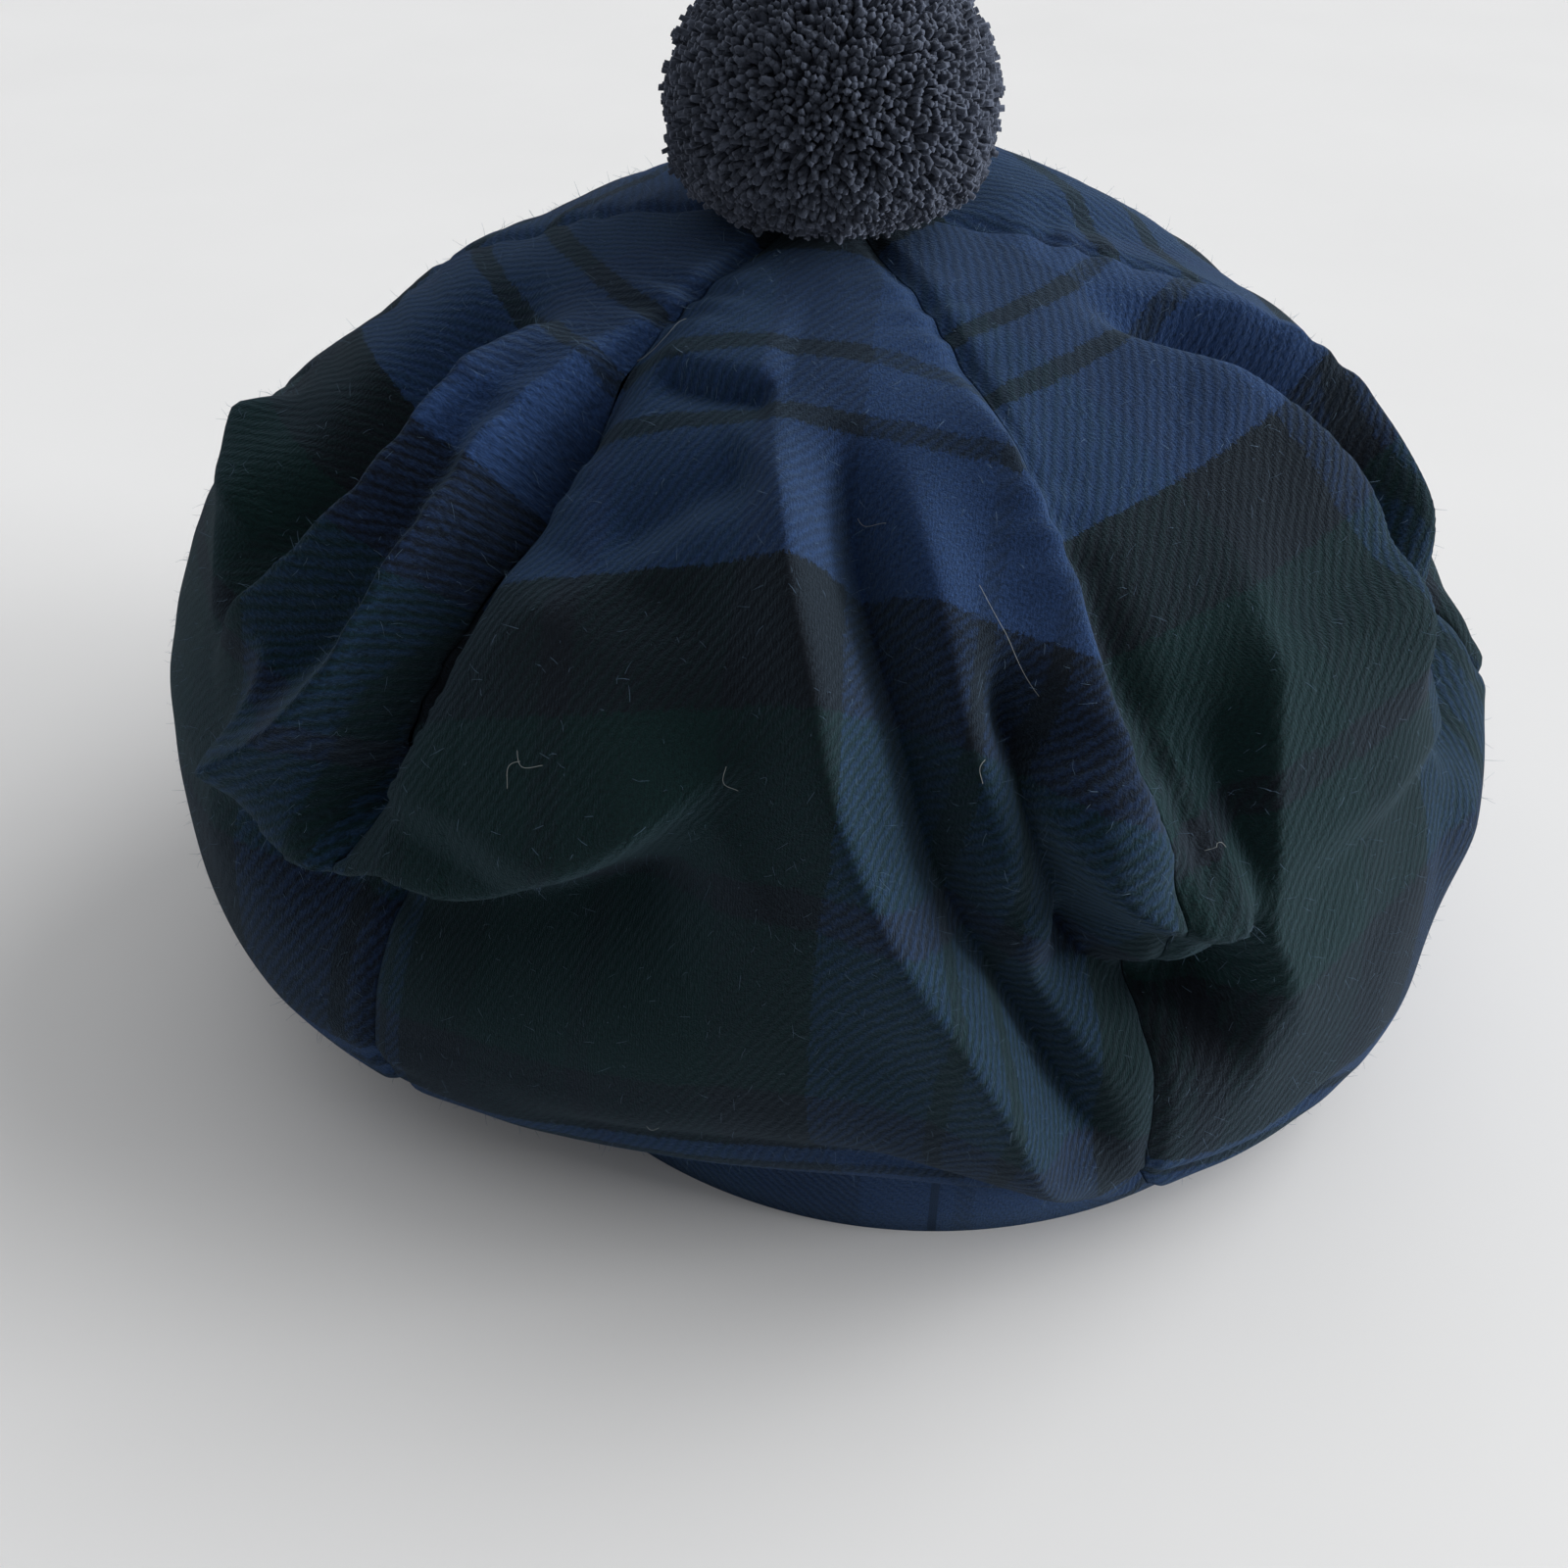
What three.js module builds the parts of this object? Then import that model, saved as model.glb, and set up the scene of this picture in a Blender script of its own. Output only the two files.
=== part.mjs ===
// A tam o'shanter: six tartan cloth gores, gathered into an upright headband, and a pompom.
// Millimetres, +Z up, the hat standing on its headband on the plane z = 0.
// An azimuth is in degrees round the crown's axis: 0 is the front (-Y) and 90 is +X.
// A fall is the share of the way down the cloth, from 0 at the crown's centre to 1 at the headband.

import * as THREE from "three";

// Driving dimensions.
const crownCentre = { x: 3, y: -3.6 };
const crownTop = 154.5; // height of the cloth at the crown's centre, before its folds
const clothThickness = 1.8;
const seamGap = 0.4;
const firstFall = 0.02; // the gores start this far down, round a small hole under the pompom
const widestFall = 0.72; // fall at which every section is widest
const topRoundness = 0.9; // under 1 keeps the crown's top broad
const bagFrom = [0.2, 0.65]; // share of the way out from the headband over which the bag begins
const clothLength = 200; // rough length of a gore from centre to headband

const headband = { radius: 91, offsetX: 20, offsetY: 0, height: 22, thickness: 3 };
// The pompom is round above its widest line and boxier below it, the more so the smaller lowerBox.
const pompom = { radius: 26.6, bottom: 153.8, widest: 169.8, top: 193.3, lowerBox: 0.6 };
const dimple = { depth: 1, radius: 24 }; // where the pompom is sewn down into the crown

// How far the crown reaches from its axis at its widest line, the height of that line, and how
// far the cloth bags down below it.
const sections = [
  { azimuth: 0, reach: 104, level: 50, sag: 3 },
  { azimuth: 30, reach: 112, level: 30, sag: 11 },
  { azimuth: 60, reach: 123, level: 36, sag: 13 },
  { azimuth: 90, reach: 121, level: 54, sag: 9 },
  { azimuth: 120, reach: 121, level: 60, sag: 4 },
  { azimuth: 150, reach: 118, level: 62, sag: 2 },
  { azimuth: 180, reach: 117, level: 62, sag: 2 },
  { azimuth: 210, reach: 117, level: 60, sag: 2 },
  { azimuth: 240, reach: 118, level: 56, sag: 4 },
  { azimuth: 270, reach: 127, level: 50, sag: 8 },
  { azimuth: 300, reach: 120, level: 42, sag: 11 },
  { azimuth: 330, reach: 106, level: 44, sag: 6 },
];

// The gores. Each starts at a seam, given by its azimuth at the top and how far it has strayed
// round by the rim, and ends at the next gore's seam.
const gores = [
  { name: "gore_1", seam: -39, stray: -6, columns: 22 },
  { name: "gore_2", seam: 25, stray: 4, columns: 20 },
  { name: "gore_3", seam: 82, stray: -4, columns: 8 },
  { name: "gore_4", seam: 142, stray: 0, columns: 8 },
  { name: "gore_5", seam: 202, stray: 0, columns: 8 },
  { name: "gore_6", seam: 260, stray: 4, columns: 20 },
];
const goreRows = 21;
const strayFrom = 0.15;
const strayTo = 0.7;

// Main folds. Each follows a curve through its places, which are [azimuth, fall]. It is left mm
// wide on the left of someone walking along it and right mm wide on their right, and stands
// height mm out of the cloth, or sinks in where height is below zero.
const folds = [
  { name: "left seam ridge", left: 6, right: 7, height: 6,
    places: [[-44, 0.16], [-45, 0.3], [-45, 0.4], [-48, 0.49], [-58, 0.56]] },
  { name: "left seam furrow", left: 6, right: 6, height: -8,
    places: [[-37, 0.19], [-40, 0.3], [-41, 0.42], [-45, 0.57]] },
  { name: "left outer ridge", left: 6, right: 6, height: 6,
    places: [[-60, 0.18], [-54, 0.31], [-54, 0.39], [-61, 0.47], [-68, 0.53]] },
  { name: "left outer hollow", left: 8, right: 8, height: -8,
    places: [[-74, 0.17], [-67, 0.32], [-66, 0.38], [-71, 0.47]] },
  { name: "far left lobe", left: 6, right: 8, height: 4,
    places: [[-86, 0.38], [-71, 0.43], [-64, 0.45]] },
  { name: "far left hollow", left: 9, right: 9, height: -5,
    places: [[-112, 0.34], [-98, 0.35], [-88, 0.34]] },
  { name: "front left pillow", left: 24, right: 24, height: 5,
    places: [[-27, 0.36], [-31, 0.46], [-33, 0.54]] },
  { name: "front left lip", left: 13, right: 6, height: 7,
    places: [[-62, 0.55], [-45, 0.58], [-33, 0.57], [-21, 0.53], [-6, 0.46]] },
  { name: "front left hollow", left: 7, right: 13, height: -11,
    places: [[-64, 0.62], [-40, 0.63], [-20, 0.58], [-10, 0.52]] },
  { name: "centre ridge", left: 6, right: 8, height: 7,
    places: [[-10, 0.22], [-6, 0.36], [-1, 0.5], [11, 0.65], [24, 0.8]] },
  { name: "centre furrow", left: 6, right: 6, height: -9,
    places: [[0, 0.24], [5, 0.39], [9.5, 0.54], [20, 0.68], [27, 0.73]] },
  { name: "short furrow", left: 6, right: 6, height: -7,
    places: [[15.5, 0.38], [20, 0.51], [25, 0.6]] },
  { name: "tongue", left: 12, right: 6, height: 7,
    places: [[19, 0.45], [24, 0.52], [32, 0.54], [37, 0.53]] },
  { name: "hollow under the tongue", left: 6, right: 9, height: -10,
    places: [[20, 0.55], [28, 0.61], [38, 0.58]] },
  { name: "right seam ridge", left: 6, right: 8, height: 4,
    places: [[21, 0.2], [25, 0.4], [28, 0.51]] },
  { name: "upright ridge", left: 12, right: 6, height: 6,
    places: [[47, 0.33], [40.5, 0.45], [37.2, 0.56], [38, 0.71]] },
  { name: "right side pillow", left: 22, right: 22, height: 4,
    places: [[54, 0.4], [54, 0.55]] },
  { name: "upper right furrow", left: 6, right: 6, height: -9,
    places: [[59, 0.16], [69, 0.29], [69, 0.38], [59, 0.48]] },
  { name: "upper right ridge", left: 9, right: 6, height: 6,
    places: [[66, 0.16], [77, 0.3], [76, 0.39], [66, 0.49]] },
  { name: "upper right crest", left: 6, right: 10, height: 4,
    places: [[54, 0.19], [63, 0.34], [54, 0.5]] },
  { name: "right notch", left: 7, right: 7, height: -6,
    places: [[90, 0.46], [78, 0.49], [60, 0.53]] },
  { name: "right low bulge", left: 10, right: 10, height: 3,
    places: [[84, 0.61], [72, 0.62], [60, 0.63]] },
  { name: "right shoulder", left: 14, right: 14, height: 3,
    places: [[92, 0.17], [122, 0.15], [148, 0.13]] },
  { name: "right back furrow", left: 9, right: 9, height: -5,
    places: [[108, 0.24], [112, 0.5], [110, 0.74]] },
  { name: "back furrow", left: 10, right: 10, height: -6,
    places: [[142, 0.25], [148, 0.5], [150, 0.75]] },
  { name: "back pleat", left: 8, right: 8, height: -4,
    places: [[170, 0.3], [176, 0.52], [172, 0.72]] },
  { name: "back left furrow", left: 10, right: 10, height: -5,
    places: [[202, 0.25], [198, 0.5], [196, 0.7]] },
  { name: "left back furrow", left: 10, right: 10, height: -6,
    places: [[236, 0.22], [238, 0.5], [244, 0.72]] },
];
const foldSteps = 12;
const foldEnd = 0.22; // share of a fold's length over which each end fades away
const heldAtTop = [0.04, 0.12]; // falls between which the folds grow to their full height
const heldAtBand = 0.12; // share of the fall above the headband over which they fade away
const normalStep = { azimuth: 0.5, fall: 0.004 }; // finite differences that give a normal

const colours = { tartan: 0x1b2c3a, band: 0x1d2f4c, yarn: 0x1c1c20 };

function smoothStep(from, to, value) {
  const share = Math.min(Math.max((value - from) / (to - from), 0), 1);
  return share * share * (3 - 2 * share);
}

// A column of the sections table at any azimuth, by a closed Catmull-Rom spline.
function sectionValue(azimuth, column) {
  const spacing = 360 / sections.length;
  const place = (((azimuth % 360) + 360) % 360) / spacing;
  const row = Math.floor(place);
  const share = place - row;
  const at = (offset) => sections[(row + offset + sections.length) % sections.length][column];
  const [a, b, c, d] = [at(-1), at(0), at(1), at(2)];
  const cubic = share * (3 * (b - c) + d - a) + 2 * a - 5 * b + 4 * c - d;
  return b + 0.5 * share * (c - a + share * cubic);
}

// Unfolded crown: a quarter of a rounded arc from the top to the widest line, and a quarter
// ellipse, bagging by the sag, from there in to the headband's inner edge.
function plainPoint(azimuth, fall) {
  const turn = THREE.MathUtils.degToRad(azimuth);
  const reach = sectionValue(azimuth, "reach");
  const level = sectionValue(azimuth, "level");
  const wide = new THREE.Vector3(Math.sin(turn) * reach, -Math.cos(turn) * reach, level);
  if (fall <= widestFall) {
    const arc = (fall / widestFall) * Math.PI / 2;
    const rise = (crownTop - level) * Math.max(Math.cos(arc), 0) ** topRoundness;
    const sunk = dimple.depth * Math.exp(-((reach * Math.sin(arc) / dimple.radius) ** 2));
    return new THREE.Vector3(wide.x * Math.sin(arc), wide.y * Math.sin(arc), level + rise - sunk);
  }
  const arc = ((fall - widestFall) / (1 - widestFall)) * Math.PI / 2;
  const rim = headband.radius - headband.thickness;
  const foot = new THREE.Vector3(
    headband.offsetX + Math.sin(turn) * rim,
    headband.offsetY - Math.cos(turn) * rim,
    headband.height + seamGap,
  );
  const bag = sectionValue(azimuth, "sag") * Math.sin(2 * arc) * smoothStep(...bagFrom, Math.cos(arc));
  return new THREE.Vector3(
    foot.x + (wide.x - foot.x) * Math.cos(arc),
    foot.y + (wide.y - foot.y) * Math.cos(arc),
    level + (foot.z - level) * Math.sin(arc) - bag,
  );
}

// Points along a fold, as [azimuth, fall], on a Catmull-Rom curve through its places.
function foldPath(places) {
  const corners = places.map(
    ([azimuth, fall]) => new THREE.Vector3(azimuth, fall * clothLength, 0),
  );
  const curve = new THREE.CatmullRomCurve3(corners, false, "catmullrom");
  return curve.getPoints(foldSteps).map((point) => [point.x, point.y / clothLength]);
}

const foldPaths = folds.map((fold) => foldPath(fold.places));

// How far a fold lifts the cloth at a place whose distance from the crown's axis is radius: a bell
// across the fold, fading at its two ends.
function foldLift(fold, path, azimuth, fall, radius) {
  const middle = path[Math.floor(path.length / 2)][0];
  const near = azimuth - 360 * Math.round((azimuth - middle) / 360);
  const perDegree = THREE.MathUtils.degToRad(1) * radius;
  let nearest = Infinity;
  let nearestShare = 0;
  let onRight = false;
  for (let step = 0; step < path.length - 1; step += 1) {
    const from = new THREE.Vector2(
      (near - path[step][0]) * perDegree,
      (fall - path[step][1]) * clothLength,
    );
    const along = new THREE.Vector2(
      (path[step + 1][0] - path[step][0]) * perDegree,
      (path[step + 1][1] - path[step][1]) * clothLength,
    );
    const share = Math.min(Math.max(from.dot(along) / along.lengthSq(), 0), 1);
    const distance = from.clone().addScaledVector(along, -share).length();
    if (distance < nearest) {
      nearest = distance;
      nearestShare = (step + share) / (path.length - 1);
      onRight = along.cross(from) > 0;
    }
  }
  const width = onRight ? fold.right : fold.left;
  const ends = smoothStep(0, foldEnd, nearestShare) * smoothStep(0, foldEnd, 1 - nearestShare);
  return fold.height * ends * Math.exp(-((nearest / width) ** 2));
}

function normalOf(pointAt, azimuth, fall, step) {
  const round = pointAt(azimuth + step.azimuth, fall).sub(pointAt(azimuth - step.azimuth, fall));
  const low = Math.min(fall + step.fall, 1);
  const high = Math.max(fall - step.fall, step.fall);
  return pointAt(azimuth, low).sub(pointAt(azimuth, high)).cross(round).normalize();
}

// Outer face of the cloth: the unfolded crown, lifted along its normal by every fold. The folds
// fade out at the crown's centre and at the headband, where the cloth is held.
function clothPoint(azimuth, fall) {
  const plain = plainPoint(azimuth, fall);
  const radius = Math.hypot(plain.x, plain.y);
  const held = smoothStep(...heldAtTop, fall) * smoothStep(0, heldAtBand, 1 - fall);
  const lift = folds.reduce(
    (sum, fold, index) => sum + foldLift(fold, foldPaths[index], azimuth, fall, radius),
    0,
  );
  return plain.addScaledVector(normalOf(plainPoint, azimuth, fall, normalStep), lift * held);
}

const wallStep = { azimuth: 1, fall: 0.01 }; // coarser differences, which keep the inner face smooth

// Closed wall between two grids of points with the same rows and columns: the outer face, the
// inner face and the four edges.
function wallGeometry(outer, inner) {
  const rows = outer.length;
  const columns = outer[0].length;
  const positions = [];
  for (const grid of [outer, inner]) {
    for (const row of grid) {
      for (const point of row) {
        positions.push(point.x, point.y, point.z);
      }
    }
  }
  const outerIndex = (row, column) => row * columns + column;
  const innerIndex = (row, column) => rows * columns + row * columns + column;
  const triangles = [];
  const addQuad = (a, b, c, d) => triangles.push(a, b, c, a, c, d);
  for (let row = 0; row < rows - 1; row += 1) {
    for (let column = 0; column < columns - 1; column += 1) {
      addQuad(
        outerIndex(row, column),
        outerIndex(row + 1, column),
        outerIndex(row + 1, column + 1),
        outerIndex(row, column + 1),
      );
      addQuad(
        innerIndex(row, column),
        innerIndex(row, column + 1),
        innerIndex(row + 1, column + 1),
        innerIndex(row + 1, column),
      );
    }
  }
  for (let row = 0; row < rows - 1; row += 1) {
    const last = columns - 1;
    addQuad(outerIndex(row, 0), innerIndex(row, 0), innerIndex(row + 1, 0), outerIndex(row + 1, 0));
    addQuad(
      outerIndex(row, last),
      outerIndex(row + 1, last),
      innerIndex(row + 1, last),
      innerIndex(row, last),
    );
  }
  for (let column = 0; column < columns - 1; column += 1) {
    const last = rows - 1;
    addQuad(
      outerIndex(0, column),
      outerIndex(0, column + 1),
      innerIndex(0, column + 1),
      innerIndex(0, column),
    );
    addQuad(
      outerIndex(last, column),
      innerIndex(last, column),
      innerIndex(last, column + 1),
      outerIndex(last, column + 1),
    );
  }
  const geometry = new THREE.BufferGeometry();
  geometry.setAttribute("position", new THREE.Float32BufferAttribute(positions, 3));
  geometry.setIndex(triangles);
  geometry.computeVertexNormals();
  return geometry;
}

function clothMaterial(colour) {
  return new THREE.MeshStandardMaterial({ color: colour, roughness: 0.95, metalness: 0 });
}

function seamAzimuth({ seam, stray }, fall) {
  return seam + stray * smoothStep(strayFrom, strayTo, fall);
}

// One gore: the cloth between two seams, each edge drawn back by half the seam gap.
function makeGore(gore, next) {
  const outer = [];
  const inner = [];
  for (let row = 0; row <= goreRows; row += 1) {
    const fall = firstFall + (1 - firstFall) * (row / goreRows);
    const from = seamAzimuth(gore, fall);
    const span = (seamAzimuth(next, fall) - from + 360) % 360;
    const edge = plainPoint(from, fall);
    const drawnBack = THREE.MathUtils.radToDeg(seamGap / 2 / Math.hypot(edge.x, edge.y));
    const outerRow = [];
    const innerRow = [];
    for (let column = 0; column <= gore.columns; column += 1) {
      const azimuth = from + drawnBack + (span - 2 * drawnBack) * (column / gore.columns);
      const point = clothPoint(azimuth, fall);
      const inwards = normalOf(clothPoint, azimuth, fall, wallStep).multiplyScalar(-clothThickness);
      outerRow.push(point);
      innerRow.push(point.clone().add(inwards));
    }
    outer.push(outerRow);
    inner.push(innerRow);
  }
  const wall = new THREE.Mesh(wallGeometry(outer, inner), clothMaterial(colours.tartan));
  wall.name = gore.name;
  return wall;
}

// The headband: a ring whose flat underside is what the hat stands on.
function makeHeadband() {
  const innerRadius = headband.radius - headband.thickness;
  const outline = [
    new THREE.Vector2(innerRadius, 0),
    new THREE.Vector2(headband.radius, 0),
    new THREE.Vector2(headband.radius, headband.height),
    new THREE.Vector2(innerRadius, headband.height),
    new THREE.Vector2(innerRadius, 0),
  ];
  const geometry = new THREE.LatheGeometry(outline, 60);
  geometry.rotateX(Math.PI / 2);
  const band = new THREE.Mesh(geometry, clothMaterial(colours.band));
  band.name = "headband";
  band.position.set(headband.offsetX, headband.offsetY, 0);
  return band;
}

// The pompom's outer form: a ball whose lower half is boxier, where it sits on the crown.
function makePompom() {
  const steps = 16;
  const outline = [];
  for (let step = 0; step <= steps; step += 1) {
    const angle = -Math.PI / 2 + (Math.PI * step) / steps;
    const power = angle < 0 ? pompom.lowerBox : 1;
    const half = angle < 0 ? pompom.widest - pompom.bottom : pompom.top - pompom.widest;
    const height = half * Math.sign(angle) * Math.abs(Math.sin(angle)) ** power;
    const atPole = step === 0 || step === steps;
    const radius = atPole ? 0 : pompom.radius * Math.cos(angle) ** power;
    outline.push(new THREE.Vector2(radius, height));
  }
  const geometry = new THREE.LatheGeometry(outline, 28);
  geometry.rotateX(Math.PI / 2);
  const ball = new THREE.Mesh(geometry, clothMaterial(colours.yarn));
  ball.name = "pompom";
  ball.position.set(0, 0, pompom.widest);
  return ball;
}

const hat = new THREE.Group();
hat.position.set(crownCentre.x, crownCentre.y, 0);
gores.forEach((gore, index) => hat.add(makeGore(gore, gores[(index + 1) % gores.length])));
hat.add(makeHeadband());
hat.add(makePompom());

export default hat;
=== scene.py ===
import math
import bpy
import numpy as np
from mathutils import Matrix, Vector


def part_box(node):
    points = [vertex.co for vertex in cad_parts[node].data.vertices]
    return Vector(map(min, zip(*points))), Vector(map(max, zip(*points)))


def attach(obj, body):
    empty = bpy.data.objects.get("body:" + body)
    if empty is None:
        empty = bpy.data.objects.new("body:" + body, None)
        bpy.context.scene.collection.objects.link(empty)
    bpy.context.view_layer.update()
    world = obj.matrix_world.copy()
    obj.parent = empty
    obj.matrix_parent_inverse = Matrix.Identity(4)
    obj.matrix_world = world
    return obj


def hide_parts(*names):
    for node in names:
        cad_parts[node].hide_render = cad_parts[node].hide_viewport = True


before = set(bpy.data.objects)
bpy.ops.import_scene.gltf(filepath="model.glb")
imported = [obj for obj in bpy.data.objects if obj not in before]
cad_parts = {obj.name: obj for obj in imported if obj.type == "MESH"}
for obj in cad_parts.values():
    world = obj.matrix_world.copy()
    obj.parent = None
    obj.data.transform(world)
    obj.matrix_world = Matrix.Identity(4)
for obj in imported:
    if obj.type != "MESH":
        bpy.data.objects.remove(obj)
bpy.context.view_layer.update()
mm = 0.001


def report(stage):
    print(f"[tam] {stage}")


# place is in mm from the pompom's axis on the floor, pitch is degrees below the horizon
view = {"place": (-7.5, -258, 245), "pitch": 39.8, "lens": 36, "sensor": 36, "nearest": 0.01}
pompomLow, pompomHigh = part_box("pompom")
bandLow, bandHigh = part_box("headband")
crownAxis = np.array([(pompomLow[0] + pompomHigh[0]) / 2, (pompomLow[1] + pompomHigh[1]) / 2, 0]) / mm
bandCentre = np.array([(bandLow[0] + bandHigh[0]) / 2, (bandLow[1] + bandHigh[1]) / 2, 0]) / mm - crownAxis


def makeCamera():
    data = bpy.data.cameras.new("camera")
    data.lens = view["lens"]
    data.sensor_width = view["sensor"]
    data.clip_start = view["nearest"]
    camera = bpy.data.objects.new("camera", data)
    camera.location = (np.array(view["place"]) + crownAxis) * mm
    camera.rotation_euler = (math.radians(90 - view["pitch"]), 0, 0)
    bpy.context.collection.objects.link(camera)
    bpy.context.scene.camera = camera


def hexLinear(code):
    # sRGB hex to linear light, by the sRGB transfer curve
    part = np.array([int(code[i:i + 2], 16) / 255 for i in (1, 3, 5)])
    linear = np.where(part <= 0.04045, part / 12.92, ((part + 0.055) / 1.055) ** 2.4)
    return (*linear.tolist(), 1.0)


def addNode(tree, kind, settings=None, links=None):
    # one node: settings are attributes or constant inputs, links are outputs of other nodes
    node = tree.nodes.new(kind)
    for key, value in (settings or {}).items():
        if isinstance(key, int) or key in node.inputs:
            node.inputs[key].default_value = value
        else:
            setattr(node, key, value)
    for key, source in (links or {}).items():
        tree.links.new(source, node.inputs[key])
    return node


def newMaterial(name):
    material = bpy.data.materials.new(name)
    material.use_nodes = True
    material.node_tree.nodes.clear()
    return material, material.node_tree


def makeMesh(name, points, faceSets, uv=None, smooth=True):
    # faceSets holds arrays of point numbers, one array for each count of corners
    corners = np.concatenate([faces.ravel() for faces in faceSets]).astype(np.int32)
    counts = np.concatenate([np.full(len(faces), faces.shape[1]) for faces in faceSets]).astype(np.int32)
    mesh = bpy.data.meshes.new(name)
    mesh.vertices.add(len(points))
    mesh.vertices.foreach_set("co", np.asarray(points, np.float32).ravel())
    mesh.loops.add(len(corners))
    mesh.loops.foreach_set("vertex_index", corners)
    mesh.polygons.add(len(counts))
    mesh.polygons.foreach_set("loop_start", np.concatenate([[0], np.cumsum(counts)[:-1]]).astype(np.int32))
    mesh.polygons.foreach_set("use_smooth", np.full(len(counts), smooth))
    if uv is not None:
        layer = mesh.uv_layers.new(name="cloth")
        layer.data.foreach_set("uv", uv[corners].astype(np.float32).ravel())
    mesh.update()
    mesh.validate()
    piece = bpy.data.objects.new(name, mesh)
    bpy.context.collection.objects.link(piece)
    return piece


def gridFaces(rows, columns, closed=False):
    # quads between neighbouring points of a grid stored row by row
    index = np.arange(rows * columns).reshape(rows, columns)
    after = np.roll(index, -1, axis=1)
    last = columns if closed else columns - 1
    a, b = index[:-1, :last], after[:-1, :last]
    c, d = after[1:, :last], index[1:, :last]
    return np.stack([a, d, c, b], -1).reshape(-1, 4)


def smoothStep(low, high, value):
    share = np.clip((value - low) / (high - low), 0, 1)
    return share * share * (3 - 2 * share)


def unit(vector):
    return vector / np.maximum(np.linalg.norm(vector, axis=-1, keepdims=True), 1e-9)


# azimuth is in degrees round the pompom's axis, 0 at the front and 90 at the right; fall is the share
# of the way down the cloth, from 0 at the crown's centre to 1 at the headband
crown = {
    "top": 154.5,  # mm, height of the cloth at the crown's centre
    "roundness": 0.9,
    "widest": 0.72,  # fall at which every section is widest
    "firstFall": 0.006,
    "dimple": 1,
    "dimpleRadius": 24,
    "thickness": 1.5,
    "length": 200,  # mm of cloth from the centre to the headband
    "bagStart": (0.2, 0.65),  # share of the way out from the headband over which the bag begins
    "seamDepth": 1.5,
    "seamWidth": 2.0,
    "seamStart": (0.03, 0.08),  # falls over which the seams sink in below the pompom
    "seamGap": 0.12,
    "pucker": 0.45,
    "puckerLength": 9,
    "puckerWidth": 7,
    "puckerDrift": (3, 40),  # how far in radians the puckers' spacing wanders, and how quickly
    "swell": 0.5,
    "swellCount": 26,
    "swellLengths": (12, 46),
    "swellScale": 6,
    "swellSeed": 31,
    "heldTop": (0.04, 0.12),  # falls over which the folds grow from nothing
    "heldBand": 0.12,  # share of the fall over which they fade away above the headband
    "crestRadius": 0.775,  # mm, rounds the crest of every fold
    "foldEnds": (-0.02, 0.2),  # share of a fold's length over which an end fades away
    "strayStart": 0.15,  # falls between which a seam strays round
    "strayEnd": 0.7,
    "normalStep": (0.4, 0.004),  # degrees and fall of the small steps that give directions
    "lostStart": 0.52,  # falls between which the lobes swallow cloth
    "lostEnd": 0.8,
}
band = {
    "radius": (bandHigh[0] - bandLow[0]) / mm / 2,
    "height": (bandHigh[2] - bandLow[2]) / mm,
    "thickness": 3,
    "clearance": 0.3,  # mm between its top edge and the gores
    "bulge": 0.2,  # mm that its outer face swells
    "rolled": (1, 0.1, 0.6),  # mm in, up and down that its top edge is rolled
    "hem": 8,  # mm of the tartan's repeat hidden in its lower hem
    "columns": 360,
}
# azimuth in degrees (0 front, 90 right), then in mm the reach of the widest line from the axis, its
# height, and how far the cloth bags down below it
sections = [
    (0, 104, 50, 3), (30, 112, 30, 11), (60, 123, 36, 13), (90, 121, 54, 9), (120, 121, 60, 4),
    (150, 118, 62, 2), (180, 117, 62, 2), (210, 117, 60, 2), (240, 118, 56, 4), (270, 127, 50, 8),
    (300, 120, 42, 11), (330, 106, 44, 6),
]
# node, azimuth of its first seam at the top and how far that seam strays by the rim, columns and
# rows of its mesh, warp and weft offsets in mm, its gathering across and the cloth lost under its lobes
gores = [
    ("gore_1", -39, -6, 132, 340, -45.0, -49.0, 1.22, 12),
    ("gore_2", 25, 4, 140, 220, -40.0, -49.0, 1.0, 30),
    ("gore_3", 82, -4, 100, 150, -60.0, -49.0, 1.0, 0),
    ("gore_4", 142, 0, 100, 150, -30.0, -49.0, 1.0, 0),
    ("gore_5", 202, 0, 100, 150, 30.0, -49.0, 1.0, 0),
    ("gore_6", 260, 4, 140, 220, -51.5, -49.0, 1.0, 28),
]
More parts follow.
